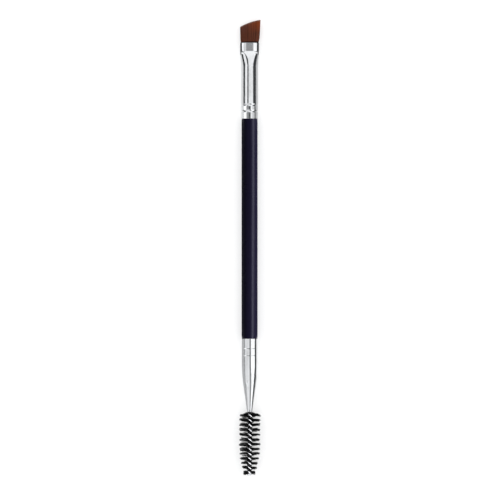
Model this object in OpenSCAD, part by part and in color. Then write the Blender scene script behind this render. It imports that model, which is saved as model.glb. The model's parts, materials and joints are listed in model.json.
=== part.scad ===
// Double-ended eyebrow brush: an angled tuft in a flattened ferrule at one end, a twisted-wire
// spoolie in a tapered ferrule at the other, on a round lacquered wood handle.
// Millimetres. Every piece is drawn upright, with the brush's axis on Z, the spoolie's tip at
// the origin and the tuft's flat face to -Y. lie_down() then lays the brush on its back, with
// the tuft towards +Y and its flat face up, resting on the spoolie and the brush ferrule.

/* [Handle] */

// Diameter of the wood handle
handle_d = 6; // [5.6:0.1:8]

// Length of wood that shows between the two ferrules
handle_len = 82.6; // [60:0.2:110]

// Length of the tenon inside each ferrule
tenon_len = 8; // [7:0.1:8.6]

// Softened edge of the handle beside the spoolie ferrule
handle_edge = 0.16; // [0.05:0.01:0.2]

/* [Brush ferrule] */

// Length from the handle to the mouth
bf_len = 28.8; // [26:0.2:36]

// How far the tube stands proud of the handle
bf_step = 0.17; // [0.1:0.01:0.3]

// Thickness of the sheet metal of both ferrules
wall = 0.22; // [0.2:0.01:0.24]

// Distance from the handle to the first crimped groove
crimp_at = 2.82; // [2:0.01:3]

// Distance between the two crimped grooves
crimp_pitch = 2.73; // [2.2:0.01:3]

// Width of a crimped groove
crimp_w = 0.6; // [0.4:0.01:0.8]

// Depth of a crimped groove
crimp_depth = 0.21; // [0.1:0.01:0.3]

// Rise of the bead between the grooves
bead_rise = 0.12; // [0.05:0.01:0.16]

// How much the end ring is drawn in beside the handle
ring_drop = 0.06; // [0.02:0.01:0.09]

// Length of the pressed flat behind the mouth
flat_len = 3.4; // [2.5:0.1:4.5]

// Length over which the round tube turns into the flat
blend_len = 5.5; // [4:0.1:8]

// Outer width of the flattened mouth
mouth_w = 7.12; // [6.8:0.02:7.6]

// Outer thickness of the flattened mouth
mouth_t = 3.3; // [2.8:0.1:4]

// Taper of the pressed flat towards the mouth, on each side
flat_taper = 0.12; // [0:0.01:0.2]

/* [Tuft] */

// Height of the tuft above the mouth on its short side
tuft_short = 5.8; // [4:0.1:8]

// Height of the tuft above the mouth on its long side
tuft_long = 8.6; // [6:0.1:11]

// How far the slanted edge bows out between its ends
tuft_bow = 0.36; // [0:0.02:0.6]

// How much each narrow side flares out above the mouth
tuft_flare = 0.54; // [0.2:0.02:0.8]

// How far the tuft leans to its long side
tuft_lean = 0.24; // [0:0.02:0.4]

// Thickness of the tuft at its slanted edge
tuft_tip_t = 1; // [0.6:0.1:1.6]

// Unevenness of the hair tips
tuft_uneven = 0.07; // [0:0.01:0.15]

/* [Spoolie ferrule] */

// Length from the handle to the small end
sf_len = 27.5; // [25:0.1:32]

// Length of the straight part beside the handle
sf_straight = 8.9; // [8.9:0.1:10]

// Radius of the curve between the straight part and the cone
sf_bend_r = 64; // [40:1:70]

// Distance from the handle to the first faint groove
sf_groove_at = 3.5; // [2:0.1:4]

// Distance between the two faint grooves
sf_groove_pitch = 2.67; // [2:0.01:3]

// Depth of a faint groove
sf_groove_depth = 0.06; // [0.02:0.01:0.1]

/* [Spoolie] */

// Length of wire and bristles that shows beyond the ferrule
spoolie_len = 24.1; // [20:0.1:30]

// Diameter over the bristles
spoolie_d = 8.04; // [6.6:0.02:9]

// Diameter over the last bristles at the tip
spoolie_tip_d = 4.04; // [3:0.02:5]

// Length over which the spoolie narrows to its tip
spoolie_nose = 12; // [8:0.5:16]

// Length of wire in which the pair of strands turns once
twist_pitch = 3.54; // [3.2:0.02:4.4]

// Diameter of the wire
wire_d = 0.7; // [0.6:0.01:0.7]

// Length of twisted wire held inside the ferrule
stem_len = 6.4; // [4:0.1:8]

// Thickness of a bristle clump
bristle_t = 0.1; // [0.08:0.01:0.12]

// Spread of a bristle clump along the wire at its tip
bristle_fan = 0.3; // [0.08:0.02:0.4]

// Height by which the lowest bristles bow where they carry the brush
bristle_sag = 0.1; // [0.05:0.01:0.16]

/* [Fit] */

// Clearance between pieces that touch
fit = 0.02; // [0.01:0.005:0.03]

/* [Hidden] */

// Stations along the axis, from the spoolie's tip
sf_tip_z = spoolie_len;
sf_top_z = sf_tip_z + sf_len;
bf_z = sf_top_z + handle_len;
mouth_z = bf_z + bf_len;
crease_z = mouth_z - flat_len;
round_z = crease_z - blend_len;
total_len = mouth_z + tuft_long;

handle_r = handle_d / 2;
tube_r = handle_r + bf_step;

// Points round a section of the flattened ferrule and of the tuft, a facet to the bottom
sides = 40;
facet_at = 67.5;

// Twisted wire
wire_r = wire_d / 2;
strand_r = wire_r + bristle_t / 2 + 0.03;
bend_z = strand_r + wire_r;
wire_top_z = sf_tip_z + stem_len;
wire_sides = 8;
rings_per_turn = 12;
bore_r = strand_r + wire_r + fit;

// Small end of the spoolie ferrule, sized to pass the twisted wire, and the slope of the line
// from it that just touches the curve below the straight part
sf_tip_r = bore_r + fit + wall;
reach = [sf_bend_r - handle_r + sf_tip_r, sf_len - sf_straight];
sf_slope = atan2(reach[1], reach[0]) - acos(sf_bend_r / norm(reach));

// Bristles, sixteen to a turn, with a row square to the flat face at first_row_z
per_turn = 16;
first_row_z = sf_tip_z - 1.5;
level_h = twist_pitch / per_turn / 2;
core_half = 0.2;

// The lie of the brush: a plane under the lowest bristles and the end of the round tube
rest_r = spoolie_d / 2 - bristle_sag;
tilt = atan((rest_r - tube_r) / (round_z - first_row_z));
lift = round_z * sin(tilt) + tube_r * cos(tilt);

$fn = 64;

module lie_down() {
    translate([0, -total_len * cos(tilt) / 2, lift])
        rotate([-90 - tilt, 0, 0])
            children();
}

// Splits a four-sided face in two
function halves(q) = [[q[0], q[1], q[2]], [q[0], q[2], q[3]]];

// A closed skin through rings of n points each, with both ends capped
function ring_sides(rings, n) = [
    for (i = [0 : rings - 2], k = [0 : n - 1])
        each halves([i * n + k, (i + 1) * n + k, (i + 1) * n + (k + 1) % n, i * n + (k + 1) % n])
];

// A shallow rise or dip of height h and length w about z, as radius offset and height
function swell(z, w, h, steps) = [
    for (i = [0 : steps]) [h * sin(180 * i / steps), z + w * (i / steps - 0.5)]
];

// Handle and ferrules

// Crimped end of the brush ferrule for a sheet surface at radius r, from the handle up.
// The sheet's outside, its inside and the wood under it all follow this one line.
function crimped(r) = let (
    second = crimp_at + crimp_pitch,
    bead_w = crimp_pitch - crimp_w
) concat(
    [[r - ring_drop, 0]],
    [for (p = swell(crimp_at, crimp_w, -crimp_depth, 4)) [r - ring_drop + p[0], p[1]]],
    [for (i = [1 : 5]) let (p = swell(crimp_at + crimp_pitch / 2, bead_w, bead_rise, 6)[i])
        [r - ring_drop + p[0], p[1]]],
    [for (i = [0 : 4]) let (p = swell(second, crimp_w, -crimp_depth, 4)[i])
        [r - ring_drop * (1 - i / 4) + p[0], p[1]]]
);

// Straight part of the spoolie ferrule for a sheet surface at radius r, from the handle down
function grooved(r) = concat(
    [[r, 0]],
    [for (p = swell(sf_groove_at, 0.5, -sf_groove_depth, 4)) [r + p[0], p[1]]],
    [for (p = swell(sf_groove_at + sf_groove_pitch, 0.5, -sf_groove_depth, 4)) [r + p[0], p[1]]]
);

// Curve and cone of the spoolie ferrule for a surface at distance t inside its outside
function tapered(t) = concat(
    [for (i = [0 : 6]) let (a = sf_slope * i / 6)
        [handle_r - sf_bend_r * (1 - cos(a)) - t, sf_straight + sf_bend_r * sin(a)]],
    [[sf_tip_r - t, sf_len]]
);

module handle() {
    up = [for (p = crimped(tube_r - wall - fit)) [p[0], bf_z + p[1]]];
    down = [for (p = grooved(handle_r - wall - fit)) [p[0], sf_top_z - p[1]]];
    last = len(down) - 1;
    color([0.08, 0.07, 0.13])
        rotate_extrude()
            polygon(concat(
                [[0, sf_top_z - tenon_len], [handle_r - wall - fit - 0.15, sf_top_z - tenon_len]],
                [[handle_r - wall - fit, sf_top_z - tenon_len + 0.3]],
                [for (i = [0 : last - 1]) down[last - i]],
                [[handle_r - wall - fit, sf_top_z + fit], [handle_r - handle_edge, sf_top_z + fit]],
                [[handle_r - handle_edge * 0.35, sf_top_z + 0.4], [handle_r, sf_top_z + 1.4]],
                [[handle_r, bf_z - fit], [up[0][0], bf_z - fit]],
                [for (i = [1 : len(up) - 1]) up[i]],
                [[tube_r - wall - fit, bf_z + tenon_len - 0.3]],
                [[tube_r - wall - fit - 0.15, bf_z + tenon_len], [0, bf_z + tenon_len]]
            ));
}

module brush_ferrule() {
    color([0.8, 0.81, 0.82])
        union() {
            crimped_tube();
            flattened_end();
        }
}

// Round tube with the two crimped grooves and the bead between them
module crimped_tube() {
    out = crimped(tube_r);
    in = crimped(tube_r - wall);
    n = len(out);
    rotate_extrude()
        polygon(concat(
            [for (p = out) [p[0], bf_z + p[1]]],
            [[tube_r, round_z], [tube_r - wall, round_z]],
            [for (i = [1 : n]) [in[n - i][0], bf_z + in[n - i][1]]]
        ));
}

// Half-width, oval half-thickness and pressed half-thickness of the sheet's outside at height z
function flat_section(z) = let (
    v = min(1, max(0, (crease_z - z) / blend_len)),
    w = min(1, max(0, (z - crease_z) / flat_len)),
    low = mouth_t / 2 + flat_taper,
    press = z < crease_z ? low + (tube_r - low) * sin(90 * v) : low - flat_taper * w
) [
    tube_r + (mouth_w / 2 - tube_r) * pow(1 - v, 1.6),
    press * (1 + (1 / sin(facet_at) - 1) * pow(1 - v, 2)),
    press
];

// Ring of points of that section, moved inwards by t
function flat_ring(z, t) = let (s = flat_section(z)) [
    for (i = [0 : sides - 1]) let (a = 360 * (i + 0.5) / sides)
        [(s[0] - t) * cos(a), max(t - s[2], min(s[2] - t, (s[1] - t) * sin(a))), z]
];

// The tube's flattened end. Its first ring is buried in the round tube's wall.
module flattened_end() {
    bury = 0.02;
    zs = concat(
        [round_z - 0.25, round_z + 0.06],
        [for (v = [0.84, 0.68, 0.53, 0.39, 0.26, 0.13, 0]) crease_z - v * blend_len],
        [mouth_z]
    );
    n = len(zs);
    outer = [for (i = [0 : n - 1]) each flat_ring(zs[i], i == 0 ? bury : i == 1 ? bury / 2 : 0)];
    inner = [for (i = [0 : n - 1]) each flat_ring(zs[i], i < 2 ? wall - bury : wall)];
    m = n * sides;
    polyhedron(
        points = concat(outer, inner),
        faces = concat(
            ring_sides(n, sides),
            [for (f = ring_sides(n, sides)) [f[0] + m, f[2] + m, f[1] + m]],
            [for (k = [0 : sides - 1]) each halves([k, (k + 1) % sides, m + (k + 1) % sides, m + k])],
            [for (k = [0 : sides - 1]) let (e = m - sides, k2 = (k + 1) % sides)
                each halves([e + k, m + e + k, m + e + k2, e + k2])]
        )
    );
}

module spoolie_ferrule() {
    out = concat(grooved(handle_r), tapered(0));
    in = concat(grooved(handle_r - wall), tapered(wall));
    n = len(out);
    color([0.8, 0.81, 0.82])
        rotate_extrude()
            polygon(concat(
                [for (p = out) [p[0], sf_top_z - p[1]]],
                [for (i = [1 : n]) [in[n - i][0], sf_top_z - in[n - i][1]]]
            ));
}

// Angled tuft

// Height of the slanted edge above the mouth, at u from 0 on the short side to 1
function tuft_edge(u) = tuft_short + (tuft_long - tuft_short) * u + 4 * tuft_bow * u * (1 - u);

// One ring of the hair above the mouth, at a part f of the way to the slanted edge
function hair_ring(f) = let (
    s = flat_section(mouth_z),
    half_w = s[0] - wall - fit + tuft_flare * (1 - pow(1 - f, 1.8)),
    half_t = tuft_tip_t / 2 + (s[1] - wall - fit - tuft_tip_t / 2) * pow(1 - f, 0.85),
    shift = tuft_lean * pow(f, 1.5)
) [
    for (i = [0 : sides - 1]) let (
        a = 360 * (i + 0.5) / sides,
        u = (1 + cos(a)) / 2,
        ragged = tuft_uneven * sin(i * 137) * f * f
    ) [shift + half_w * cos(a), half_t * sin(a), mouth_z + f * tuft_edge(u) + ragged]
];

// The hair follows the inside of the ferrule, then stands free and thins to a slanted edge
module brush_tuft() {
    inside = [round_z + 0.1, crease_z - 0.53 * blend_len, crease_z - 0.26 * blend_len, crease_z,
              mouth_z];
    rings = concat(
        [for (z = inside) flat_ring(z, wall + fit)],
        [for (f = [0.08, 0.25, 0.45, 0.65, 0.85, 1]) hair_ring(f)]
    );
    n = len(rings);
    top = (n - 1) * sides;
    color([0.34, 0.19, 0.13])
        polyhedron(
            points = [for (r = rings) each r],
            faces = concat(
                ring_sides(n, sides),
                [[for (k = [0 : sides - 1]) k]],
                [for (i = [0 : sides / 2 - 2]) each halves([top + sides - 1 - i,
                    top + sides - 2 - i, top + i + 1, top + i])]
            )
        );
}

// Hardened glue behind the roots of the hair
module tuft_glue() {
    color([0.85, 0.76, 0.5])
        translate([0, 0, round_z - 4.5])
            cylinder(r = tube_r - wall - fit, h = 4.5);
}

// Spoolie

// Angle of the wire pair at height z. The twist is left-handed, and at first_row_z the two
// strands lie one before the other, so that the bristles there point straight to both sides.
function pair_angle(z) = 90 - 360 * (z - first_row_z) / twist_pitch;

// A point at distance x along the pair's line and y across it, turned with the pair
function turned(x, y, z) = let (a = pair_angle(z))
    [x * cos(a) - y * sin(a), x * sin(a) + y * cos(a), z];

// One wire, folded double: down as one strand, round the bend at the tip, up as the other
function wire_path() = let (
    steps = round((wire_top_z - bend_z) / twist_pitch * rings_per_turn),
    step = (wire_top_z - bend_z) / steps
) concat(
    [for (i = [0 : steps - 1]) [strand_r, wire_top_z - i * step]],
    [for (i = [0 : 8]) [strand_r * cos(i * 22.5), bend_z - strand_r * sin(i * 22.5)]],
    [for (i = [1 : steps]) [-strand_r, bend_z + i * step]]
);

function unit(v) = v / norm(v);

module spoolie_wire() {
    path = wire_path();
    n = len(path);
    at = [for (p = path) turned(p[0], 0, p[1])];
    points = [
        for (i = [0 : n - 1]) let (
            along = unit(at[min(n - 1, i + 1)] - at[max(0, i - 1)]),
            across = turned(0, 1, path[i][1]) - [0, 0, path[i][1]],
            out = unit(cross(across, along)),
            side = cross(along, out)
        ) for (k = [0 : wire_sides - 1]) let (a = 360 * (k + 0.5) / wire_sides)
            at[i] + wire_r * (out * cos(a) + side * sin(a))
    ];
    color([0.72, 0.72, 0.74])
        polyhedron(
            points = points,
            faces = concat(
                ring_sides(n, wire_sides),
                [[for (k = [0 : wire_sides - 1]) k]],
                [[for (k = [0 : wire_sides - 1]) n * wire_sides - 1 - k]]
            )
        );
}

// Radius over the bristles at height z, and the same where the table stops them
function bristle_r(z) = spoolie_d / 2
    - (spoolie_d - spoolie_tip_d) / 2 * (1 - sin(90 * min(1, z / spoolie_nose)));

function resting_r(z, a) = sin(a) < 0.2 ? bristle_r(z)
    : min(bristle_r(z), (lift - z * sin(tilt)) / cos(tilt) / sin(a));

// Bristles clamped between the strands: a thin twisted core joins them, and in every second
// step of the twist one bristle leaves each edge of the core.
module spoolie_bristles() {
    low = first_row_z - floor((first_row_z - bend_z - 0.1) / level_h / 2) * 2 * level_h;
    levels = 2 * floor((sf_tip_z - 0.15 - low) / level_h / 2);
    core = [
        for (j = [0 : levels]) let (z = low + j * level_h)
            for (c = [[1, -1], [1, 1], [-1, 1], [-1, -1]])
                turned(c[0] * bristle_t / 2, c[1] * core_half, z)
    ];
    m = len(core);
    tips = [
        for (j = [0 : 2 : levels - 1], side = [1, -1]) let (
            z = low + (j + 0.5) * level_h,
            a = pair_angle(z) + 90 * side,
            r = resting_r(z, a),
            p = [r * cos(a), r * sin(a), z],
            u = [sin(a), -cos(a), 0] * bristle_t * 0.35,
            h = [0, 0, bristle_fan / 2]
        ) each [p + u - h, p - u - h, p - u + h, p + u + h]
    ];
    color([0.06, 0.055, 0.065])
        polyhedron(
            points = concat(core, tips),
            faces = concat(
                [[0, 1, 2, 3]],
                [[levels * 4 + 3, levels * 4 + 2, levels * 4 + 1, levels * 4]],
                [for (j = [0 : levels - 1]) let (b = j * 4) each concat(
                    halves([b, b + 4, b + 5, b + 1]),
                    halves([b + 2, b + 6, b + 7, b + 3]),
                    j % 2 == 1 ? concat(
                        halves([b + 1, b + 5, b + 6, b + 2]),
                        halves([b + 3, b + 7, b + 4, b])
                    ) : concat(
                        spike([b + 1, b + 2, b + 6, b + 5], m + j * 4),
                        spike([b + 3, b, b + 4, b + 7], m + j * 4 + 4)
                    )
                )]
            )
        );
}

// A bristle from the four base points b to the four tip points that start at t
function spike(b, t) = concat(
    [for (k = [0 : 3]) let (k2 = (k + 1) % 4) each halves([b[k], t + k, t + k2, b[k2]])],
    halves([t, t + 3, t + 2, t + 1])
);

// Glue in the cone that holds the stem of the wire and closes over its two ends
module stem_glue() {
    start = 1.5;
    inside = [for (p = tapered(wall + fit)) [p[0], sf_top_z - p[1]]];
    color([0.85, 0.76, 0.5])
        difference() {
            intersection() {
                rotate_extrude()
                    polygon(concat([[0, inside[0][1]]], inside, [[0, sf_tip_z]]));
                translate([0, 0, sf_tip_z + start])
                    cylinder(r = handle_r, h = stem_len + 0.8 - start);
            }
            translate([0, 0, sf_tip_z])
                cylinder(r = bore_r, h = stem_len + wire_r);
        }
}

lie_down() handle();
lie_down() brush_ferrule();
lie_down() brush_tuft();
lie_down() tuft_glue();
lie_down() spoolie_ferrule();
lie_down() spoolie_wire();
lie_down() spoolie_bristles();
lie_down() stem_glue();
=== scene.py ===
"""The looks of a double-ended eyebrow brush: plated ferrules, lacquered handle, hair and spoolie."""
import json
import math
import random

import bmesh
import bpy
from mathutils import Matrix, Vector, noise


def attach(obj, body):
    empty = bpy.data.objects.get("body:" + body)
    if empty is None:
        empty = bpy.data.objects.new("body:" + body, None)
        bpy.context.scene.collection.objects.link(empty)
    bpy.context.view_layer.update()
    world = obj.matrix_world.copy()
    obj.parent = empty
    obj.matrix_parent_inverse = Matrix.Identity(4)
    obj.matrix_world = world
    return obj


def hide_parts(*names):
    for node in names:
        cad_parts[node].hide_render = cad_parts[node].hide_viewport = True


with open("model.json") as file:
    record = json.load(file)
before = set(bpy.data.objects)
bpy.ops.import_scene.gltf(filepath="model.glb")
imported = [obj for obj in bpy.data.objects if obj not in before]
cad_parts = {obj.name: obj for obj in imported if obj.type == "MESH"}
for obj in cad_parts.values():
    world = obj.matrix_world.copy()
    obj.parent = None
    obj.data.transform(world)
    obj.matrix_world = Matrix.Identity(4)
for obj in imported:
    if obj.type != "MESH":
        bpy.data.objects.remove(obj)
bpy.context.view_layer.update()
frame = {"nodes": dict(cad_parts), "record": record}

scene = bpy.context.scene
scene.view_settings.view_transform = "Standard"

# Fixed seeds, so that hair and filaments come out the same in each run
SHAPE_SEED = 4
HAIR_SEED = 7
FILAMENT_SEED = 19
noise.seed_set(SHAPE_SEED)

# The brush's own frame, in millimetres: Z runs along the axis from the spoolie's tip to the hair,
# and -Y is the side that faces up as the brush lies.
MM = 0.001
grip = frame["record"]["mounts"][0]
axis = Vector(grip["axis"]).normalized()
grip_at = Vector(grip["pos_m"])
wire_points = [v.co - grip_at for v in frame["nodes"]["spoolie_wire"].data.vertices]
start = grip_at + axis * min(axis.dot(p) for p in wire_points)
right = Vector((1, 0, 0))
lie = (
    Matrix.Translation(start)
    @ Matrix((right, axis.cross(right), axis)).transposed().to_4x4()
    @ Matrix.Scale(MM, 4)
)
stand = lie.inverted()


def span(node):
    """Lowest and highest corner of a CAD node in the brush's own frame."""
    points = [stand @ v.co for v in frame["nodes"][node].data.vertices]
    return Vector(map(min, zip(*points))), Vector(map(max, zip(*points)))


# How much shorter the mouth is here than in the CAD
MOUTH_TRIM = 0.25
cone_z, cone_top_z = (corner.z for corner in span("spoolie_ferrule"))
sheet_z, mouth_z = (corner.z for corner in span("brush_ferrule"))
mouth_z -= MOUTH_TRIM
tenon_low_z, tenon_high_z = (corner.z for corner in span("handle"))
wire_low_z, wire_high_z = (corner.z for corner in span("spoolie_wire"))
rows_low_z = span("spoolie_bristles")[0].z

# Sheet metal and handle, in millimetres. The brush ferrule stands a step proud of the handle.
WALL = 0.22
FIT = 0.02
STEP = 0.17
RIM = 0.05
handle_r = grip["dims"]["r_mm"]
tube_r = handle_r + STEP

# Handle: the chamfers of its tenons, inwards and along, and how its lacquer rounds off at both
# shoulders, as (depth below the surface, distance from the ferrule)
TENON_CHAMFER = (0.2, 0.4)
BIG_TENON_CHAMFER = (0.2, 0.3)
SPOOLIE_SHOULDER = ((0.16, FIT), (0.1, 0.15), (0.05, 0.45), (0.015, 0.95), (0, 1.6))
BRUSH_SHOULDER = ((0, 0.3), (0.03, 0.1), (0.09, FIT))

# Crimped end of the brush ferrule: two rolled grooves with a bead between them and a ring below,
# both a little narrower towards the handle
CRIMP_AT = 2.82
CRIMP_PITCH = 2.35
CRIMP_W = 0.85
CRIMP_DEPTH = 0.13
BEAD_RISE = 0.04
BEAD_SLOPE = 0.06
RING_SLOPE = 0.035
CRIMP_RINGS = 66
TUBE_RINGS = 8

# Flattened end of the brush ferrule. The press leaves a facet above and below, given as a share
# of the width: narrow in the mouth, wide at the shoulder below the crease, then fading away.
FLAT_LEN = 3.15
BLEND_LEN = 5.5
FLAT_HALF_T = 1.65
FLAT_TAPER = 0.12
FACET_SHARE = 0.375
SHOULDER_SHARE = 0.85
SHOULDER_START = 0.06
SHOULDER_FADE = 2.3
RISE_TURN = 1.2
SQUARENESS = 0.7
SQUARE_FADE = 1.5
WIDTH_FADE = 1.3
CREASE_GAP = 0.06
BLEND_RINGS = 30
FLAT_RINGS = 8
FERRULE_SIDES = 128
mouth_half_w = span("brush_ferrule")[1].x
crease_z = mouth_z - FLAT_LEN
round_z = crease_z - BLEND_LEN

# Spoolie ferrule: straight beside the handle, then a long bend, then a cone
SF_STRAIGHT = 8.9
SF_BEND_R = 64
SF_GROOVES = (3.5, 6.17)
SF_GROOVE_W = 0.6
SF_GROOVE_DEPTH = 0.009
STRAIGHT_RINGS = 90
BEND_RINGS = 12
CONE_RINGS = 16

# Tuft: its slanted edge above the mouth, and how it swells out of the mouth, flares and leans
TUFT_SHORT = 6.12
TUFT_LONG = 8.78
TUFT_BOW = 0.36
TUFT_SWELL = 0.27
SWELL_POWER = 16
TUFT_FLARE = 0.31
TUFT_LEAN = 0.27
LEAN_POWER = 0.33
TUFT_TIP_HALF_T = 0.5
THINNING_POWER = 0.85

# Hair: how far it reaches into the mouth, as a share of its height above it, how many locks and
# shades there are across half the tuft, how far a lock draws together, and how uneven the tips
# are. A few strays end lower than the rest.
HAIRS = 2200
HAIR_R = 0.055
HAIR_TIP_SHARE = 0.45
HAIR_ROOT = 0.3
TURN_JITTER = 0.02
LOCKS_WIDE = 5
SHADES_WIDE = 21
LOCK_PULL = 0.03
TIP_UNEVEN = 0.16
STRAY = 0.25
SHADE_MEAN = 0.45
SHADE_RANGE = 0.9
SHADE_GRAIN = 0.2

# Inner hair: its heights as shares of the tuft's, and its share of the tuft's width and thickness
CORE_STATIONS = (-HAIR_ROOT, 0, 0.2, 0.4, 0.6, 0.8, 0.93)
CORE_W_SHARE = 0.9
CORE_T_SHARE = 0.8
CORE_SIDES = 48
CORE_SHADE = 0.3

# Twisted wire: two strands, which stand a little further apart where they clamp filaments. It
# leans to one side, and crosses the axis SWAY_FROM above the tip.
TWIST_PITCH = 3.72
TWIST_TIGHTENS = 0.00197
WIRE_R = 0.35
WIRE_SIDES = 14
WIRE_RINGS_PER_TURN = 40
FOLD_RINGS = 16
STRAND_R = 0.43
STRAND_SPREAD = 0.18
HELD_BELOW = 0.1
SWAY = 0.012
SWAY_FROM = 10

# Spoolie: filaments round the wire, which part to the right and left and gather into rows. They
# part at the angle PARTING above the right side and below the left. GATHER turns them towards
# their side, ROW_PULL draws them to their row's height, FORK opens the row into two prongs, and
# EASE is how early along a filament it bends. The rest of the ROW_ and LOCK_ values give each row
# and each lock its own shape. A pair of values is for the right and for the left. TABLE_SLOPE is
# how much nearer the table comes to the axis with each millimetre away from the tip.
SPOOLIE_R = 4.02
SPOOLIE_TIP_R = 2.02
SPOOLIE_NOSE = 12
FILAMENT_R = 0.05
FILAMENT_TIP_SHARE = 0.9
FILAMENTS_PER_TURN = 200
CLAMPED_R = 0.12
CLAMP_SPREAD = 0.16
PARTING = math.radians(60)
GATHER = (0.18, 0.08)
ROW_PULL = (0.2, 0.3)
FORK = (0.19, 0.14)
FORK_MEAN = 0.8
EASE = 0.6
ROW_CHANGE = 1.3
ROW_SPLAY = 0.25
ROW_REACH = 0.05
LOCKS_PER_MM = 4.5
LOCK_SPLAY = 0.45
LOCK_TURN = 0.25
LOCK_REACH = 0.09
PLACE_JITTER = 0.4
ANGLE_JITTER = 0.07
CUT_UNEVEN = 0.15
SPLAY = 0.11
TABLE_SLOPE = 0.0057
FAN_ABOVE_TIP = 0.2
FAN_ABOVE_ROW = 0.95
FIRST_ROW_DROP = 1.28
first_row_z = cone_z - FIRST_ROW_DROP

# The dome of loose filaments between the first row and the ferrule. DOME_CONE is its radius at
# the first row and what each millimetre towards the ferrule takes away, and none is longer than
# DOME_R.
DOME_FILAMENTS = 150
DOME_RISE = (0.1, 1.15)
DOME_R = 3.8
DOME_CONE = (4.4, 2.6)
DOME_CUT = (0.75, 1)
DOME_SPLAY = (-0.4, 0.05)

# The spoolie's end: the fan's last filaments splay over the tip, and loose ones stand among them
END_LEN = 1.5
END_SPLAY = 0.6
END_TRIM = 0.12
END_FILAMENTS = 90
END_RISE = (0, 0.5)
END_CUT = (0.8, 1.05)
END_LOOSE_SPLAY = (-0.75, 0.5)
SIDE_SPREAD = 0.6


# Shader building

def node(tree, kind, inputs=(), **settings):
    """Adds a node to a tree, with its settings, and fills its inputs with values or links."""
    made = tree.nodes.new(kind)
    for name, value in settings.items():
        setattr(made, name, value)
    for name, value in dict(inputs).items():
        if isinstance(value, bpy.types.NodeSocket):
            tree.links.new(value, made.inputs[name])
        else:
            made.inputs[name].default_value = value
    return made


def maths(tree, operation, *values):
    """One step of arithmetic on values or links."""
    return node(tree, "ShaderNodeMath", enumerate(values), operation=operation).outputs[0]


def between(tree, value, low, high, to_low=0.0, to_high=1.0):
    """Remaps a value from one range to another, without going past its ends."""
    made = node(tree, "ShaderNodeMapRange", {
        "Value": value, "From Min": low, "From Max": high, "To Min": to_low, "To Max": to_high,
    })
    return made.outputs[0]


def mix(tree, factor, first, second):
    """Mixes two colours, which are inputs 6 and 7 and output 2 of the node."""
    inputs = {0: factor, 6: first, 7: second}
    return node(tree, "ShaderNodeMix", inputs, data_type="RGBA").outputs[2]


def colour(red, green, blue):
    """A linear colour from its values on a screen, 0 to 255."""
    def linear(value):
        share = value / 255
        return share / 12.92 if share <= 0.04045 else ((share + 0.055) / 1.055) ** 2.4
    return (linear(red), linear(green), linear(blue), 1)


def new_group(name, inputs, outputs):
    """An empty node group with float inputs and outputs, apart from a Vector input called Place."""
    group = bpy.data.node_groups.new(name, "ShaderNodeTree")
    for title, kind in [("Place", "NodeSocketVector")] + [(i, "NodeSocketFloat") for i in inputs]:
        group.interface.new_socket(title, in_out="INPUT", socket_type=kind)
    for title in outputs:
        group.interface.new_socket(title, in_out="OUTPUT", socket_type="NodeSocketFloat")
    return group, node(group, "NodeGroupInput").outputs, node(group, "NodeGroupOutput").inputs


def drawn_lines_group():
    """Fine lines that run along the brush, as drawing, turning and wood grain leave them."""
    group, given, out = new_group("drawn_lines", ["Lines per mm", "Line length"], ["Lines", "Breaks"])
    stretch = node(group, "ShaderNodeCombineXYZ", {
        "X": given["Lines per mm"],
        "Y": maths(group, "DIVIDE", 1.0, given["Line length"]),
        "Z": given["Lines per mm"],
    })
    place = node(group, "ShaderNodeVectorMath", {0: given["Place"], 1: stretch.outputs[0]},
                 operation="MULTIPLY")
    fine = node(group, "ShaderNodeTexNoise", {
        "Vector": place.outputs[0], "Scale": 1.0, "Detail": 3.0, "Roughness": 0.65,
    })
    coarse = node(group, "ShaderNodeTexNoise", {
        "Vector": place.outputs[0], "Scale": 0.31, "Detail": 1.0,
    })
    group.links.new(fine.outputs["Fac"], out["Lines"])
    group.links.new(between(group, coarse.outputs["Fac"], 0.42, 0.62), out["Breaks"])
    return group


def handling_group():
    """Marks of use: soft smudges, and hairline scuffs that lie in every direction."""
    group, given, out = new_group("handling", ["Smudge size", "Scuffs per mm"], ["Smudge", "Scuffs"])
    cloud = node(group, "ShaderNodeTexNoise", {
        "Vector": given["Place"],
        "Scale": maths(group, "DIVIDE", 1.0, given["Smudge size"]),
        "Detail": 4.0, "Roughness": 0.55, "Distortion": 0.4,
    })
    cells = node(group, "ShaderNodeTexVoronoi", {
        "Vector": given["Place"], "Scale": given["Scuffs per mm"], "Randomness": 1.0,
    }, feature="DISTANCE_TO_EDGE")
    rare = node(group, "ShaderNodeTexNoise", {
        "Vector": given["Place"], "Scale": maths(group, "MULTIPLY", given["Scuffs per mm"], 0.4),
    })
    hairline = between(group, cells.outputs["Distance"], 0.0, 0.03, 1.0, 0.0)
    here = between(group, rare.outputs["Fac"], 0.55, 0.68)
    group.links.new(between(group, cloud.outputs["Fac"], 0.35, 0.7), out["Smudge"])
    group.links.new(maths(group, "MULTIPLY", hairline, here), out["Scuffs"])
    return group


drawn_lines = drawn_lines_group()
handling = handling_group()


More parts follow.
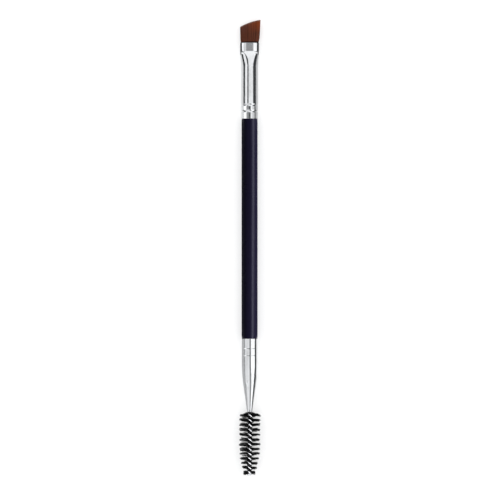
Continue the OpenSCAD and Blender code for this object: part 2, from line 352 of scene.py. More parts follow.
class Finish:
    """A material with a Principled shader, and coordinates in millimetres on the brush's axis."""

    def __init__(self, name, **constants):
        self.material = bpy.data.materials.new(name)
        self.material.use_nodes = True
        self.tree = self.material.node_tree
        self.shader = self.tree.nodes["Principled BSDF"]
        for title, value in constants.items():
            self.shader.inputs[title.replace("_", " ")].default_value = value
        where = node(self.tree, "ShaderNodeTexCoord").outputs["Object"]
        self.place = node(self.tree, "ShaderNodeMapping", {
            "Vector": where, "Location": (0, 0, -grip_at.z / MM), "Scale": (1 / MM,) * 3,
        }).outputs[0]

    def effect(self, group, **values):
        """Places a shared group, and gives its outputs."""
        inputs = {title.replace("_", " "): value for title, value in values.items()}
        inputs["Place"] = self.place
        return node(self.tree, "ShaderNodeGroup", inputs, node_tree=group).outputs

    def noise(self, scale, detail, stretch=(1, 1, 1)):
        """A noise with its own stretch along X, Y and Z."""
        place = node(self.tree, "ShaderNodeVectorMath", {0: self.place, 1: stretch},
                     operation="MULTIPLY").outputs[0]
        return node(self.tree, "ShaderNodeTexNoise", {
            "Vector": place, "Scale": scale, "Detail": detail,
        }).outputs["Fac"]

    def read(self, name):
        """A value that each point of the mesh carries."""
        return node(self.tree, "ShaderNodeAttribute", attribute_name=name).outputs["Fac"]

    def feed(self, title, value):
        """Links a value to one of the shader's inputs."""
        self.tree.links.new(value, self.shader.inputs[title])

    def bump(self, height, distance, strength=1.0):
        """Raises the surface by a height map, over what other bumps have raised."""
        below = self.shader.inputs["Normal"].links
        inputs = {"Height": height, "Distance": distance, "Strength": strength}
        if below:
            inputs["Normal"] = below[0].from_socket
        self.feed("Normal", node(self.tree, "ShaderNodeBump", inputs).outputs[0])


# Materials

def plated_sheet():
    """Bright nickel plate on drawn sheet: hairlines along the tube, faint clouds, a few scuffs."""
    finish = Finish("bright_plated_sheet", Metallic=1.0, IOR=2.0)
    tree = finish.tree
    lines = finish.effect(drawn_lines, Lines_per_mm=9.0, Line_length=16.0)
    marks = finish.effect(handling, Smudge_size=6.0, Scuffs_per_mm=0.8)
    clean = mix(tree, lines["Lines"], colour(214, 216, 219), colour(226, 227, 229))
    finish.feed("Base Color", mix(tree, marks["Smudge"], clean, colour(208, 209, 211)))
    rough = maths(tree, "MULTIPLY_ADD", marks["Smudge"], 0.05, 0.06)
    finish.feed("Roughness", maths(tree, "MULTIPLY_ADD", marks["Scuffs"], 0.18, rough))
    finish.bump(lines["Lines"], 0.0000015, 0.35)
    return finish.material


def lacquer():
    """Blue-black lacquer over turned wood: grain that just shows through, and a soft gloss."""
    finish = Finish("blue_black_lacquer", IOR=1.3, Specular_Tint=(0.82, 0.83, 1, 1))
    tree = finish.tree
    grain = finish.effect(drawn_lines, Lines_per_mm=2.2, Line_length=22.0)
    marks = finish.effect(handling, Smudge_size=9.0, Scuffs_per_mm=0.45)
    deep = mix(tree, grain["Breaks"], colour(31, 27, 52), colour(36, 32, 58))
    finish.feed("Base Color", mix(tree, marks["Scuffs"], deep, colour(48, 46, 62)))
    finish.feed("Roughness", maths(tree, "MULTIPLY_ADD", marks["Smudge"], 0.07, 0.26))
    finish.bump(grain["Lines"], 0.000003, 0.4)
    finish.bump(finish.noise(2.6, 2.0), 0.000012, 0.35)
    return finish.material


def hair():
    """Brown hair, each hair with its own shade of brown: redder and lighter on its long side, which
    is a painted highlight, and darkened by painted shade where it goes into the mouth.
    """
    finish = Finish("brown_hair", IOR=1.5, Specular_IOR_Level=0.35)
    tree = finish.tree
    shade = finish.read("shade")
    along = finish.read("along")
    across = node(tree, "ShaderNodeSeparateXYZ", {0: finish.place}).outputs["X"]
    # Painted highlight: the hair is painted lighter and more orange towards its long side
    painted_highlight_side = between(tree, across, -1.5, 3.2)
    lock = between(tree, shade, 0.15, 0.9)
    low = mix(tree, lock, colour(92, 44, 27), colour(134, 72, 46))
    high_cool = mix(tree, painted_highlight_side, colour(98, 52, 38), colour(144, 62, 20))
    high_warm = mix(tree, painted_highlight_side, colour(134, 76, 58), colour(184, 90, 36))
    high = mix(tree, lock, high_cool, high_warm)
    body = mix(tree, between(tree, along, 0.58, 0.86), low, high)
    # Painted shade: the hair turns dark where it goes into the mouth of the ferrule
    mouth_shaded = mix(tree, between(tree, along, 0.27, 0.3), colour(40, 22, 14), body)
    dusky = mix(tree, between(tree, along, 0.93, 1.0, 0.0, 0.75), mouth_shaded, colour(170, 128, 110))
    finish.feed("Base Color", dusky)
    finish.feed("Roughness", between(tree, shade, 0.0, 1.0, 0.42, 0.6))
    scales = finish.noise(30.0, 1.0, (1, 0.35, 1))
    finish.bump(scales, 0.000004, 0.4)
    return finish.material


def nylon():
    """Black nylon filament, a little worn and paler at its cut tips."""
    finish = Finish("black_nylon", IOR=1.5, Specular_IOR_Level=0.25)
    tree = finish.tree
    shade = finish.read("shade")
    along = finish.read("along")
    body = mix(tree, shade, colour(6, 6, 7), colour(20, 19, 22))
    tip = maths(tree, "MULTIPLY", between(tree, along, 0.75, 1.0), shade)
    finish.feed("Base Color", mix(tree, tip, body, colour(62, 61, 66)))
    finish.feed("Roughness", between(tree, shade, 0.0, 1.0, 0.32, 0.5))
    finish.bump(finish.noise(24.0, 1.0), 0.000004, 0.3)
    return finish.material


def steel_wire():
    """Bright drawn steel wire with fine die lines and a thin grey film in places."""
    finish = Finish("bright_steel_wire", Metallic=1.0, IOR=2.2)
    tree = finish.tree
    lines = finish.effect(drawn_lines, Lines_per_mm=14.0, Line_length=1.2)
    marks = finish.effect(handling, Smudge_size=1.4, Scuffs_per_mm=2.0)
    clean = mix(tree, lines["Lines"], colour(206, 207, 210), colour(232, 232, 234))
    finish.feed("Base Color", mix(tree, marks["Smudge"], clean, colour(178, 179, 184)))
    finish.feed("Roughness", between(tree, marks["Smudge"], 0.0, 1.0, 0.1, 0.2))
    finish.bump(lines["Lines"], 0.000003, 0.5)
    return finish.material


def set_glue():
    """Amber glue, set hard, with small bubbles."""
    finish = Finish("set_glue", IOR=1.5, Subsurface_Weight=0.2)
    tree = finish.tree
    cloud = finish.noise(1.1, 3.0)
    finish.feed("Base Color", mix(tree, cloud, colour(206, 168, 96), colour(228, 198, 132)))
    finish.feed("Roughness", between(tree, cloud, 0.3, 0.7, 0.22, 0.4))
    bubbles = node(tree, "ShaderNodeTexVoronoi", {"Vector": finish.place, "Scale": 3.5})
    finish.bump(bubbles.outputs["Distance"], 0.00002, 0.3)
    return finish.material


def pale_table():
    """A plain pale table top, without gloss."""
    finish = Finish("pale_table", Roughness=0.9, Specular_IOR_Level=0.1)
    cloud = finish.noise(0.02, 2.0)
    finish.feed("Base Color", mix(finish.tree, cloud, colour(240, 240, 240), colour(244, 244, 244)))
    return finish.material


# Mesh building, in millimetres in the brush's own frame

# Edges that turn by more than this look sharp, and those that turn far more get a bevel
SHARP = math.radians(18)
BEVELLED = math.radians(50)
TURNED_SIDES = 96


def mesh_of(name, bm, *materials):
    """Turns a bmesh into a mesh with its materials."""
    mesh = bpy.data.meshes.new(name)
    bm.to_mesh(mesh)
    bm.free()
    for material in materials:
        mesh.materials.append(material)
    return mesh


def add(name, data):
    """Adds an object to the scene."""
    made = bpy.data.objects.new(name, data)
    scene.collection.objects.link(made)
    return made


def unit_tube(rings, sides):
    """A tube of radius 1 with a ring of points at each whole height from 0."""
    bm = bmesh.new()
    bmesh.ops.create_circle(bm, segments=sides, radius=1)
    edges = bm.edges[:]
    for _ in range(rings - 1):
        drawn = bmesh.ops.extrude_edge_only(bm, edges=edges)["geom"]
        points = {p for p in drawn if isinstance(p, bmesh.types.BMVert)}
        edges = [e for e in drawn if isinstance(e, bmesh.types.BMEdge) and points.issuperset(e.verts)]
        bmesh.ops.translate(bm, verts=list(points), vec=(0, 0, 1))
    return bm


def shape_tube(bm, section):
    """Moves each point of a unit tube to section(ring number, angle round the axis)."""
    for point in bm.verts:
        angle = math.atan2(point.co.y, point.co.x)
        point.co = section(round(point.co.z), angle)


def close_ends(bm, sides):
    """Closes both ends of a tube, and turns its faces outwards."""
    bmesh.ops.holes_fill(bm, edges=[e for e in bm.edges if e.is_boundary], sides=sides)
    bmesh.ops.recalc_face_normals(bm, faces=bm.faces)


def turned(profile, closed=False):
    """A body turned on the lathe from a profile of (radius, height) points."""
    bm = bmesh.new()
    points = [bm.verts.new((r, 0, z)) for r, z in profile]
    pairs = list(zip(points, points[1:])) + ([(points[-1], points[0])] if closed else [])
    edges = [bm.edges.new(pair) for pair in pairs]
    bmesh.ops.spin(bm, geom=points + edges, cent=(0, 0, 0), axis=(0, 0, 1), angle=math.tau,
                   steps=TURNED_SIDES, use_merge=True)
    bmesh.ops.remove_doubles(bm, verts=bm.verts, dist=0.0005)
    bmesh.ops.recalc_face_normals(bm, faces=bm.faces)
    return bm


def soften_rims(bm):
    """Bevels the sharpest edges of a sheet."""
    sharp = [e for e in bm.edges if len(e.link_faces) == 2 and e.calc_face_angle() > BEVELLED]
    bmesh.ops.bevel(bm, geom=sharp, offset=RIM, segments=2, affect="EDGES", profile=0.5,
                    material=-1)


def piece(name, bm, material, slot, *nodes):
    """Turns a bmesh into a piece of the brush, in place of any CAD nodes that are named."""
    for face in bm.faces:
        face.smooth = True
    for edge in bm.edges:
        edge.smooth = edge.calc_face_angle(0) < SHARP
    bmesh.ops.transform(bm, matrix=lie, verts=bm.verts)
    made = add(name, mesh_of(name, bm, material))
    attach(made, "root")
    if nodes:
        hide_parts(*nodes)
    return made


# Handle and ferrules

def handle():
    """Lacquered wood, with the two tenons that the ferrules grip."""
    tenon = handle_r - WALL - FIT
    big_tenon = tube_r - WALL - FIT - CRIMP_DEPTH
    in_low, up_low = TENON_CHAMFER
    in_high, down_high = BIG_TENON_CHAMFER
    profile = [(0, tenon_low_z), (tenon - in_low, tenon_low_z), (tenon, tenon_low_z + up_low)]
    profile += [(tenon, cone_top_z + FIT)]
    profile += [(handle_r - depth, cone_top_z + up) for depth, up in SPOOLIE_SHOULDER]
    profile += [(handle_r - depth, sheet_z - down) for depth, down in BRUSH_SHOULDER]
    profile += [(big_tenon, sheet_z - FIT), (big_tenon, tenon_high_z - down_high)]
    profile += [(big_tenon - in_high, tenon_high_z), (0, tenon_high_z)]
    return turned(profile)


def roll(height, centre, width):
    """Depth, from 0 to 1, of a rolled groove at a height."""
    offset = abs(height - centre) / width
    return 0.5 + 0.5 * math.cos(math.tau * offset) if offset < 0.5 else 0.0


def crimped_r(height):
    """Radius of the brush ferrule at a height above the handle: each ring narrows downwards."""
    second = CRIMP_AT + CRIMP_PITCH
    grooves = roll(height, CRIMP_AT, CRIMP_W) + roll(height, second, CRIMP_W)
    if height > second:
        ring = 0
    elif height > CRIMP_AT:
        ring = BEAD_RISE - BEAD_SLOPE * (second - CRIMP_W / 2 - height)
    else:
        ring = -RING_SLOPE * (CRIMP_AT - height)
    return tube_r + ring - CRIMP_DEPTH * grooves


def flat_section(z):
    """Half-width, half-thickness, pressed half-thickness and squareness of the flattened end.

    v runs from 0 at the crease down to 1 at the round tube, w from 0 at the crease to the mouth.
    """
    v = min(1, max(0, (crease_z - z) / BLEND_LEN))
    w = min(1, max(0, (z - crease_z) / FLAT_LEN))
    low = FLAT_HALF_T + FLAT_TAPER
    rising = low + (tube_r - low) * math.sin(RISE_TURN * v) / math.sin(RISE_TURN)
    press = rising if z < crease_z else low - FLAT_TAPER * w
    power = 2 + SQUARENESS * (1 - v) ** SQUARE_FADE
    shoulder = SHOULDER_SHARE * (1 - v) ** SHOULDER_FADE
    facet = FACET_SHARE + (shoulder - FACET_SHARE) * min(1, v / SHOULDER_START)
    full = press / (1 - facet ** power) ** (1 / power)
    return tube_r + (mouth_half_w - tube_r) * (1 - v) ** WIDTH_FADE, full, press, power


def flat_point(z, angle):
    """A point round the flattened end: a square-shouldered oval, pressed flat above and below."""
    half_w, full, press, power = flat_section(z)
    across, up = math.cos(angle), math.sin(angle)
    x = half_w * math.copysign(abs(across) ** (2 / power), across)
    y = full * math.copysign(abs(up) ** (2 / power), up)
    return Vector((x, max(-press, min(press, y)), z))


def brush_ferrule():
    """The tube, crimped on the handle at one end and pressed flat at the other."""
    crimp_len = CRIMP_AT + CRIMP_PITCH + CRIMP_W
    plain_len = round_z - sheet_z - crimp_len
    stations = [sheet_z + crimp_len * i / CRIMP_RINGS for i in range(CRIMP_RINGS)]
    stations += [sheet_z + crimp_len + plain_len * i / TUBE_RINGS for i in range(TUBE_RINGS)]
    stations += [round_z - CREASE_GAP]
    stations += [round_z + BLEND_LEN * i / BLEND_RINGS for i in range(BLEND_RINGS + 1)]
    stations += [crease_z + CREASE_GAP]
    stations += [crease_z + FLAT_LEN * (i + 1) / FLAT_RINGS for i in range(FLAT_RINGS)]

    def section(ring, angle):
        z = stations[ring]
        if z > round_z:
            return flat_point(z, angle)
        r = crimped_r(z - sheet_z)
        return Vector((r * math.cos(angle), r * math.sin(angle), z))

    bm = unit_tube(len(stations), FERRULE_SIDES)
    shape_tube(bm, section)
    bmesh.ops.recalc_face_normals(bm, faces=bm.faces)
    bmesh.ops.solidify(bm, geom=bm.faces[:], thickness=WALL)
    bmesh.ops.recalc_face_normals(bm, faces=bm.faces)
    soften_rims(bm)
    return bm


def spoolie_ferrule():
    """The tube with two faint grooves beside the handle, drawn down to a cone for the wire."""
    full_len = cone_top_z - cone_z
    tip_r = STRAND_R + WIRE_R + 2 * FIT + WALL
    reach = Vector((SF_BEND_R - handle_r + tip_r, full_len - SF_STRAIGHT))
    slope = math.atan2(reach.y, reach.x) - math.acos(SF_BEND_R / reach.length)

    def straight_r(height):
        grooves = sum(roll(height, at, SF_GROOVE_W) for at in SF_GROOVES)
        return handle_r - SF_GROOVE_DEPTH * grooves

    heights = [SF_STRAIGHT * i / STRAIGHT_RINGS for i in range(STRAIGHT_RINGS)]
    outside = [(straight_r(h), h) for h in heights]
    bend = [slope * i / BEND_RINGS for i in range(BEND_RINGS + 1)]
    outside += [(handle_r - SF_BEND_R * (1 - math.cos(a)), SF_STRAIGHT + SF_BEND_R * math.sin(a))
                for a in bend]
    last_r, last_h = outside[-1]
    outside += [(last_r + (tip_r - last_r) * i / CONE_RINGS,
                 last_h + (full_len - last_h) * i / CONE_RINGS) for i in range(1, CONE_RINGS + 1)]
    inside = [(r - WALL, h) for r, h in reversed(outside)]
    bm = turned([(r, cone_top_z - h) for r, h in outside + inside], closed=True)
    soften_rims(bm)
    return bm


# Hair and filaments

# How far along a strand its direction is taken
AHEAD = 0.05


def strand(sides, rings):
    """One strand as a mesh: radius 1, with its height running from 0 to 1, and both ends closed."""
    bm = unit_tube(rings, sides)
    for point in bm.verts:
        point.co.z /= rings - 1
    close_ends(bm, sides)
    return mesh_of("strand", bm)


def bundle(mould, lines, radius, tip_share):
    """Copies a strand along each line, thinner towards its tip, and marks shade and place on it.

    A line is a function from 0 to 1, and comes with its shade.
    """
    bm = bmesh.new()
    shade_of = bm.verts.layers.float.new("shade")
    along_of = bm.verts.layers.float.new("along")
    count = len(mould.vertices)
    for line, shade in lines:
        bm.from_mesh(mould)
        bm.verts.ensure_lookup_table()
        for point in bm.verts[-count:]:
            t = point.co.z
            at = line(t)
            ahead = (line(min(1, t + AHEAD)) - line(max(0, t - AHEAD))).normalized()
            out = ahead.orthogonal().normalized()
            r = radius * (1 - (1 - tip_share) * t * t)
            offset = out * point.co.x + ahead.cross(out) * point.co.y
            point[shade_of] = shade
            point[along_of] = t
            point.co = at + offset * r
    return bm


def tuft_edge(u):
    """Height of the slanted edge above the mouth, at u from 0 on the short side to 1."""
    return TUFT_SHORT + (TUFT_LONG - TUFT_SHORT) * u + 4 * TUFT_BOW * u * (1 - u)


def tuft_point(px, py, f, extra=0.0):
    """A point of the tuft: px and py across it from -1 to 1, f from the mouth to the edge."""
    rise = max(0.0, f)
    half_w, oval, _, _ = flat_section(mouth_z)
    inner_w = half_w - WALL - FIT - HAIR_R
    inner_t = oval - WALL - FIT - HAIR_R
    width = inner_w + TUFT_SWELL * (1 - (1 - rise) ** SWELL_POWER) + TUFT_FLARE * rise
    thick = TUFT_TIP_HALF_T + (inner_t - TUFT_TIP_HALF_T) * (1 - rise) ** THINNING_POWER
    lean = TUFT_LEAN * rise ** LEAN_POWER
    length = tuft_edge((1 + px) / 2) - extra
    return Vector((lean + width * px, thick * py, mouth_z + f * length))


def tuft():
    """Hairs packed side by side, drawn together in small locks towards their tips."""
    rng = random.Random(HAIR_SEED)
    golden = math.pi * (3 - math.sqrt(5))
    lines = []
    for i in range(HAIRS):
        far = math.sqrt((i + 0.5) / HAIRS)
        turn = i * golden + rng.uniform(-TURN_JITTER, TURN_JITTER)
        px, py = far * math.cos(turn), far * math.sin(turn)
        lock = noise.noise_vector(Vector((px * LOCKS_WIDE, py * 2, 3)))
        extra = rng.uniform(0, TIP_UNEVEN) + STRAY * rng.random() ** 6

        def line(t, px=px, py=py, lock=lock, extra=extra):
            f = -HAIR_ROOT + (1 + HAIR_ROOT) * t
            drawn = LOCK_PULL * max(0.0, f) ** 2
            x = max(-1, min(1, px + drawn * lock.x))
            y = max(-1, min(1, py + 3 * drawn * lock.y))
            return tuft_point(x, y, f, extra)

        shade = SHADE_MEAN + SHADE_RANGE * noise.noise(Vector((px * SHADES_WIDE, py * 2, 11)))
        shade += rng.uniform(-SHADE_GRAIN, SHADE_GRAIN)
        lines.append((line, min(1, max(0, shade))))
    return bundle(strand(sides=5, rings=6), lines, HAIR_R, HAIR_TIP_SHARE)


def tuft_core():
    """The inner hair, one dense lock that keeps light from passing through the tuft."""
    bm = unit_tube(len(CORE_STATIONS), CORE_SIDES)
    along_of = bm.verts.layers.float.new("along")
    shade_of = bm.verts.layers.float.new("shade")
    for point in bm.verts:
        point[along_of] = CORE_STATIONS[round(point.co.z)]
        point[shade_of] = CORE_SHADE

    def section(ring, angle):
        px, py = CORE_W_SHARE * math.cos(angle), CORE_T_SHARE * math.sin(angle)
        return tuft_point(px, py, CORE_STATIONS[ring])

    shape_tube(bm, section)
    close_ends(bm, CORE_SIDES)
    return bm


def pair_angle(z):
    """Angle of the wire pair at a height: a left-handed twist, a little tighter at the tip."""
    depth = first_row_z - z
    return math.pi / 2 + math.tau * depth / TWIST_PITCH * (1 + TWIST_TIGHTENS * depth)


def freed(z):
    """How free of the ferrule the wire is at a height: from 0, held, to 1."""
    share = min(1, max(0, cone_z - HELD_BELOW - z))
    return share * share * (3 - 2 * share)


def strand_at(z):
    """Distance of a strand from the axis: the filaments press the two apart below the ferrule."""
    return STRAND_R + STRAND_SPREAD * freed(z)


def sway(z):
    """The slight lean of the wire to one side."""
    return SWAY * (z - SWAY_FROM) * freed(z)


def filament_r(z):
    """Length of a filament from the axis at a height."""
    rise = math.sin(math.pi / 2 * min(1, max(0, z - wire_low_z) / SPOOLIE_NOSE))
    return SPOOLIE_R - (SPOOLIE_R - SPOOLIE_TIP_R) * (1 - rise)


def filament(rng, z, angle, reach, splay, gathered):
    """One filament's line. It leaves the wire at an angle, and bends to the row on its side.

    Each row has its own splay and length, and so has each lock in it. A loose filament isn't
    gathered into a row. None goes below the table.
    """
    part = (-angle - PARTING) % math.tau
    left = int(part < math.pi)
    bend = part % math.pi - (math.pi - PARTING)
    row_z = z - bend * TWIST_PITCH / math.tau
    own = noise.noise_vector(Vector((row_z / ROW_CHANGE, 7 * left, 2)))
    lock = noise.noise_vector(Vector((z * LOCKS_PER_MM, 9 * left, 4)))
    if gathered:
        fork = FORK[left] * rng.choice((-1, 1)) * (FORK_MEAN + own.y)
        splay += ROW_SPLAY * own.x + fork + LOCK_SPLAY * lock.x
        reach *= 1 + ROW_REACH * own.z + LOCK_REACH * lock.z
    turn = (GATHER[left] * bend + LOCK_TURN * lock.y) * gathered
    pull = ROW_PULL[left] * gathered
    root = CLAMP_SPREAD * rng.uniform(-1, 1)
    low_y = (stand @ Vector((0, start.y, 0))).y - FILAMENT_R

    def line(t):
        ease = t ** EASE
        a = angle + turn * ease
        r = CLAMPED_R + (reach - CLAMPED_R) * t
        at = Vector((r * math.cos(a), r * math.sin(a), z + (row_z - z) * pull * ease + splay * t))
        at += Vector((-math.sin(angle), math.cos(angle), 0)) * root * (1 - t) ** 2
        at.x += sway(z)
        at.y = min(at.y, low_y - at.z * TABLE_SLOPE)
        return at

    return line


def sideways(rng):
    """An angle to the left or right of the brush."""
    return rng.choice((0, math.pi)) + rng.gauss(0, SIDE_SPREAD)


def filaments():
    """Filaments clamped between the strands: a double fan that parts to the left and right."""
    rng = random.Random(FILAMENT_SEED)
    low = rows_low_z + FAN_ABOVE_TIP
    high = first_row_z + FAN_ABOVE_ROW
    count = round((high - low) / TWIST_PITCH * FILAMENTS_PER_TURN)
    lines = []
    for i in range(2 * count):
        z = low + (high - low) * (i // 2 + rng.uniform(-PLACE_JITTER, PLACE_JITTER)) / count
        jitter = rng.uniform(-ANGLE_JITTER, ANGLE_JITTER)
        angle = pair_angle(z) + (i % 2 - 0.5) * math.pi + jitter
        reach = filament_r(z) - FILAMENT_R - CUT_UNEVEN * rng.random() ** 2
        last = max(0, 1 - (z - low) / END_LEN)
        reach *= 1 - END_TRIM * last * rng.random()
        splay = rng.uniform(-SPLAY, SPLAY) - END_SPLAY * last * rng.random()
        lines.append((filament(rng, z, angle, reach, splay, 1), rng.random()))
    for _ in range(DOME_FILAMENTS):
        rise = rng.uniform(*DOME_RISE)
        reach = min(DOME_R, DOME_CONE[0] - DOME_CONE[1] * rise) * rng.uniform(*DOME_CUT)
        angle = sideways(rng)
        splay = rng.uniform(*DOME_SPLAY)
        lines.append((filament(rng, first_row_z + rise, angle, reach, splay, 0), rng.random()))
    for _ in range(END_FILAMENTS):
        z = low + rng.uniform(*END_RISE)
        reach = filament_r(z) * rng.uniform(*END_CUT)
        angle = sideways(rng)
        splay = rng.uniform(*END_LOOSE_SPLAY)
        lines.append((filament(rng, z, angle, reach, splay, 0), rng.random()))
    return bundle(strand(sides=5, rings=5), lines, FILAMENT_R, FILAMENT_TIP_SHARE)


def wire_pair():
    """One wire, folded double at the tip and twisted: a round section carried along its path."""
    fold_r = STRAND_R + STRAND_SPREAD
    bend_z = wire_low_z + fold_r + WIRE_R
    steps = round((wire_high_z - bend_z) / TWIST_PITCH * WIRE_RINGS_PER_TURN)
    heights = [bend_z + (wire_high_z - bend_z) * i / steps for i in range(1, steps + 1)]
    fold = [math.pi * i / FOLD_RINGS for i in range(FOLD_RINGS + 1)]
    path = [(strand_at(z), z) for z in reversed(heights)]
    path += [(fold_r * math.cos(a), bend_z - fold_r * math.sin(a)) for a in fold]
    path += [(-strand_at(z), z) for z in heights]
    points = []
    for x, z in path:
        angle = pair_angle(z)
        points.append(Vector((x * math.cos(angle) + sway(z), x * math.sin(angle), z)))
    bm = unit_tube(len(points), WIRE_SIDES)

    def section(ring, a):
        angle = pair_angle(path[ring][1])
        ahead = (points[min(len(points) - 1, ring + 1)] - points[max(0, ring - 1)]).normalized()
        across = Vector((-math.sin(angle), math.cos(angle), 0))
        out = across.cross(ahead).normalized()
        return points[ring] + WIRE_R * (out * math.cos(a) + ahead.cross(out) * math.sin(a))

    shape_tube(bm, section)
    close_ends(bm, WIRE_SIDES)
    return bm


# The object

plate = plated_sheet()
metal = [
    piece("brush_ferrule_tube", brush_ferrule(), plate, "plated_sheet", "brush_ferrule"),
    piece("spoolie_ferrule_tube", spoolie_ferrule(), plate, "plated_sheet", "spoolie_ferrule"),
]
wire = [piece("twisted_wire", wire_pair(), steel_wire(), "wire", "spoolie_wire")]
painted = [piece("lacquered_handle", handle(), lacquer(), "lacquered_wood", "handle")]
brown = hair()
hairs = [
    piece("angled_hair", tuft(), brown, "tuft_hair", "brush_tuft"),
    piece("inner_hair", tuft_core(), brown, "tuft_hair"),
]
bristles = [
    piece("spoolie_filaments", filaments(), nylon(), "bristle", "spoolie_bristles"),
]
glue = set_glue()
for name in ("tuft_glue", "stem_glue"):
    lump = frame["nodes"][name]
    lump.data.materials.clear()
    lump.data.materials.append(glue)


# Studio, in metres: a pale table, softboxes and a camera that looks straight down. FIELD is the
# width that the picture shows at the height of the brush's axis.

FIELD = 0.188
CAMERA_HEIGHT = 1.04
PHOTO_CENTRE = (0.00016, -0.0009)
BOX_DISTANCE = 1.2
CARD_HEIGHT = 0.0002
TABLE_HALF_W = 3
WHITE = (1, 1, 1, 1)
COOL_WHITE = (0.9, 0.95, 1, 1)

# How bright the world and the ceiling lights are. The table takes a little light that leaves
# shadows of the brush, and most of it from a light that nothing but the table stops.
WORLD_GLOW = 0.06
WIRE_GLOW = 2.4
TABLE_GLOW = 0.03
TABLE_FILL = 1.16


def some(name, things):
    """A collection that names what a light reaches, or what stops it."""
    chosen = bpy.data.collections.new(name)
    for thing in things:
        chosen.objects.link(thing)
    return chosen


def softbox(name, sides, reach, glow, receivers):
    """A long rectangular light that faces the brush, and lights only some things.

    It spans two side angles, in degrees from straight up towards +X, and two places along Y.
    """
    tilt = math.radians(sum(sides) / 2)
    light = bpy.data.lights.new(name, "AREA")
    light.shape = "RECTANGLE"
    light.size = 2 * BOX_DISTANCE * math.tan(math.radians(sides[1] - sides[0]) / 2)
    light.size_y = reach[1] - reach[0]
    light.energy = glow * light.size * light.size_y * math.pi
    lamp = add(name, light)
    lamp.location = (BOX_DISTANCE * math.sin(tilt), sum(reach) / 2, BOX_DISTANCE * math.cos(tilt))
    lamp.rotation_euler = (0, tilt, 0)
    lamp.visible_camera = False
    lamp.light_linking.receiver_collection = some(name + "_lit", receivers)


def sky(name, glow, receivers, blockers=None, spread=150, tilt=0):
    """Soft light from a round of the ceiling, with the shadows of everything or of some things.

    The spread and the tilt towards +X are in degrees.
    """
    light = bpy.data.lights.new(name, "SUN")
    light.angle = math.radians(spread)
    light.energy = glow * math.pi
    lamp = add(name, light)
    lamp.rotation_euler = (0, math.radians(tilt), 0)
    lamp.light_linking.receiver_collection = some(name + "_lit", receivers)
    if blockers is not None:
        lamp.light_linking.blocker_collection = some(name + "_stopped", blockers)


def table_card(name, across, reach, glow):
    """A card on the table beside the brush. Only reflections in bright metal and lacquer see it."""
    material = bpy.data.materials.new(name)
    material.use_nodes = True
    tree = material.node_tree
    tree.nodes.clear()
    dull = node(tree, "ShaderNodeEmission", {"Color": WHITE, "Strength": glow})
    node(tree, "ShaderNodeOutputMaterial", {"Surface": dull.outputs[0]})
    bm = bmesh.new()
    bmesh.ops.create_grid(bm, x_segments=1, y_segments=1, size=0.5)
    bmesh.ops.scale(bm, vec=(across[1] - across[0], reach[1] - reach[0], 1), verts=bm.verts)
    thing = add(name, mesh_of(name, bm, material))
    thing.location = (sum(across) / 2, sum(reach) / 2, CARD_HEIGHT)
    thing.visible_camera = False
    thing.visible_diffuse = False
    thing.visible_shadow = False


def dim_world():
    """A world that is white to the camera and almost dark to everything else."""
    world = bpy.data.worlds.new("studio")
    world.use_nodes = True
    tree = world.node_tree
    tree.nodes.clear()
    dim = node(tree, "ShaderNodeBackground", {"Color": COOL_WHITE, "Strength": WORLD_GLOW})
    pale = node(tree, "ShaderNodeBackground", {"Color": WHITE, "Strength": 1.0})
    seen = node(tree, "ShaderNodeLightPath").outputs["Is Camera Ray"]
    both = node(tree, "ShaderNodeMixShader", {0: seen, 1: dim.outputs[0], 2: pale.outputs[0]})
    node(tree, "ShaderNodeOutputWorld", {"Surface": both.outputs[0]})
    scene.world = world


# Where each part of the metal looks for its reflection along Y, on the plane of the softboxes,
# and the boxes there: the side angles that each one covers, and how bright it is. What no box
# covers stays dark, and draws the dark lines along the metal.
METAL_LIGHT = {
    "tube": ((0.1, 0.19), [(-62, -31, 1.2), (-14, 49, 1.1)]),
    "facet": ((0.19, 0.33), [(-58, -34, 1.5), (-34, -5, 0.9), (-5, 5, 0.32), (5, 15, 0.9),
                             (15, 52, 1.4)]),
    "press": ((0.33, 1.04), [(-64, -31, 1.2), (-14, 49, 1.15)]),
    "press_left": ((1.1, 2.6), [(-64, -14, 1.2)]),
    "press_right": ((1.04, 2.6), [(-14, 49, 1.3)]),
    "bead": ((-0.045, 0.005), [(-98, -50, 1.6), (-50, -37, 0.8), (-37, -9, 0.3), (5, 19, 0.38),
                               (19, 34, 1.25), (34, 62, 0.9)]),
    "ring": ((0.005, 0.1), [(-98, -50, 1.6), (-50, -37, 0.8), (-37, -9, 0.3), (5, 19, 0.38),
                            (19, 34, 1.25), (34, 62, 0.87), (62, 90, 0.47)]),
    "lower": ((-0.18, -0.045), [(-92, -69, 0.34), (-69, -21, 0.95), (-21, -7, 1.12),
                                (-7, 4, 0.66), (4, 20, 0.2), (20, 81, 1.5)]),
    "bend": ((-0.27, -0.18), [(-92, -70, 0.44), (-70, -21, 0.97), (-21, -7, 1.12),
                              (-7, 7.5, 0.72), (7.5, 23, 0.2), (23, 77, 1.5)]),
    "curve": ((-0.38, -0.27), [(-92, -72, 0.46), (-72, -21, 0.97), (-21, -9, 1.12),
                               (-9, 10, 0.75), (10, 27, 0.2), (27, 76, 1.5)]),
    "cone": ((-2.6, -0.38), [(-95, -82, 0.28), (-82, -54, 0.74), (-54, -11, 1.07), (-11, 12, 0.78),
                             (12, 33, 0.2), (33, 73, 1.6)]),
}
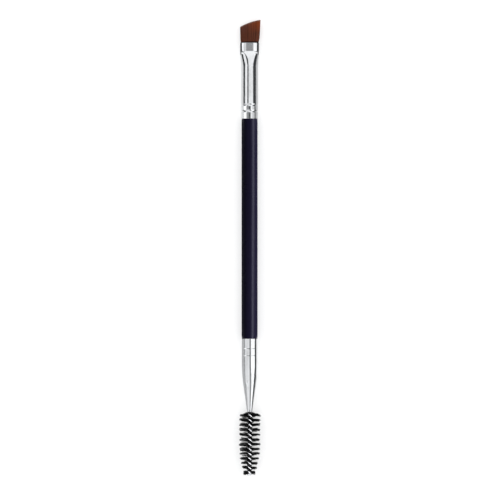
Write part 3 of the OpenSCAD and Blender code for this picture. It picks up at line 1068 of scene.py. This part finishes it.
# The other softboxes: the side angles, the reach along Y, how bright, and what they light
OTHER_BOXES = {
    "key_box": ((42, 74), (0.02, 1), 3.6, painted),
    "near_key_box": ((34, 54), (-1, 0.02), 6.6, painted),
    "hair_key_box": ((40, 72), (-1, 1), 1.8, hairs),
    "hair_box": ((-50, 20), (-1, 1), 1.05, hairs),
    "bristle_box": ((-40, 50), (-1, 1), 0.35, bristles),
}
# The cards on the table, in metres: from low X to high X, from low Y to high Y, and how bright
CARDS = [
    (-0.4, -0.0035, 0.0725, 0.12, 0.15), (0.0035, 0.4, 0.0725, 0.12, 0.15),
    (-0.06, -0.0035, 0.0484, 0.0725, 0.95), (-0.4, -0.06, 0.0484, 0.0725, 0.06),
    (0.0035, 0.03, 0.0484, 0.0725, 0.75), (0.03, 0.4, 0.0484, 0.0725, 0.06),
    (-0.015, -0.003, -0.034, 0.0484, 0.05), (-0.4, -0.015, -0.034, 0.0484, 0.2),
    (0.003, 0.4, -0.034, 0.0484, 0.04), (-0.4, -0.0055, -0.12, -0.034, 0.62),
    (-0.0055, -0.002, -0.12, -0.034, 1.2), (0.003, 0.014, -0.049, -0.034, 1.1),
    (0.014, 0.4, -0.049, -0.034, 0.06), (0.002, 0.011, -0.12, -0.049, 0.85),
    (0.011, 0.4, -0.12, -0.049, 0.06),
]


def studio():
    """Table, world, lights and camera."""
    bm = bmesh.new()
    bmesh.ops.create_grid(bm, x_segments=1, y_segments=1, size=TABLE_HALF_W)
    table = add("table_top", mesh_of("table_top", bm, pale_table()))
    dim_world()

    for zone, (reach, boxes) in METAL_LIGHT.items():
        for i, (low, high, glow) in enumerate(boxes):
            softbox(f"{zone}_box_{i + 1}", (low, high), reach, glow, metal)
    for i, (low_x, high_x, low_y, high_y, glow) in enumerate(CARDS):
        table_card(f"card_{i + 1}", (low_x, high_x), (low_y, high_y), glow)
    sky("wire_light", WIRE_GLOW, wire, wire, spread=140, tilt=24)
    for name, (sides, reach, glow, receivers) in OTHER_BOXES.items():
        softbox(name, sides, reach, glow, receivers)
    sky("table_light", TABLE_GLOW, [table])
    sky("table_fill", TABLE_FILL, [table], [table])

    camera = add("camera", bpy.data.cameras.new("camera"))
    camera.data.lens = camera.data.sensor_width * CAMERA_HEIGHT / FIELD
    camera.location = (*PHOTO_CENTRE, grip_at.z + CAMERA_HEIGHT)
    scene.camera = camera


studio()
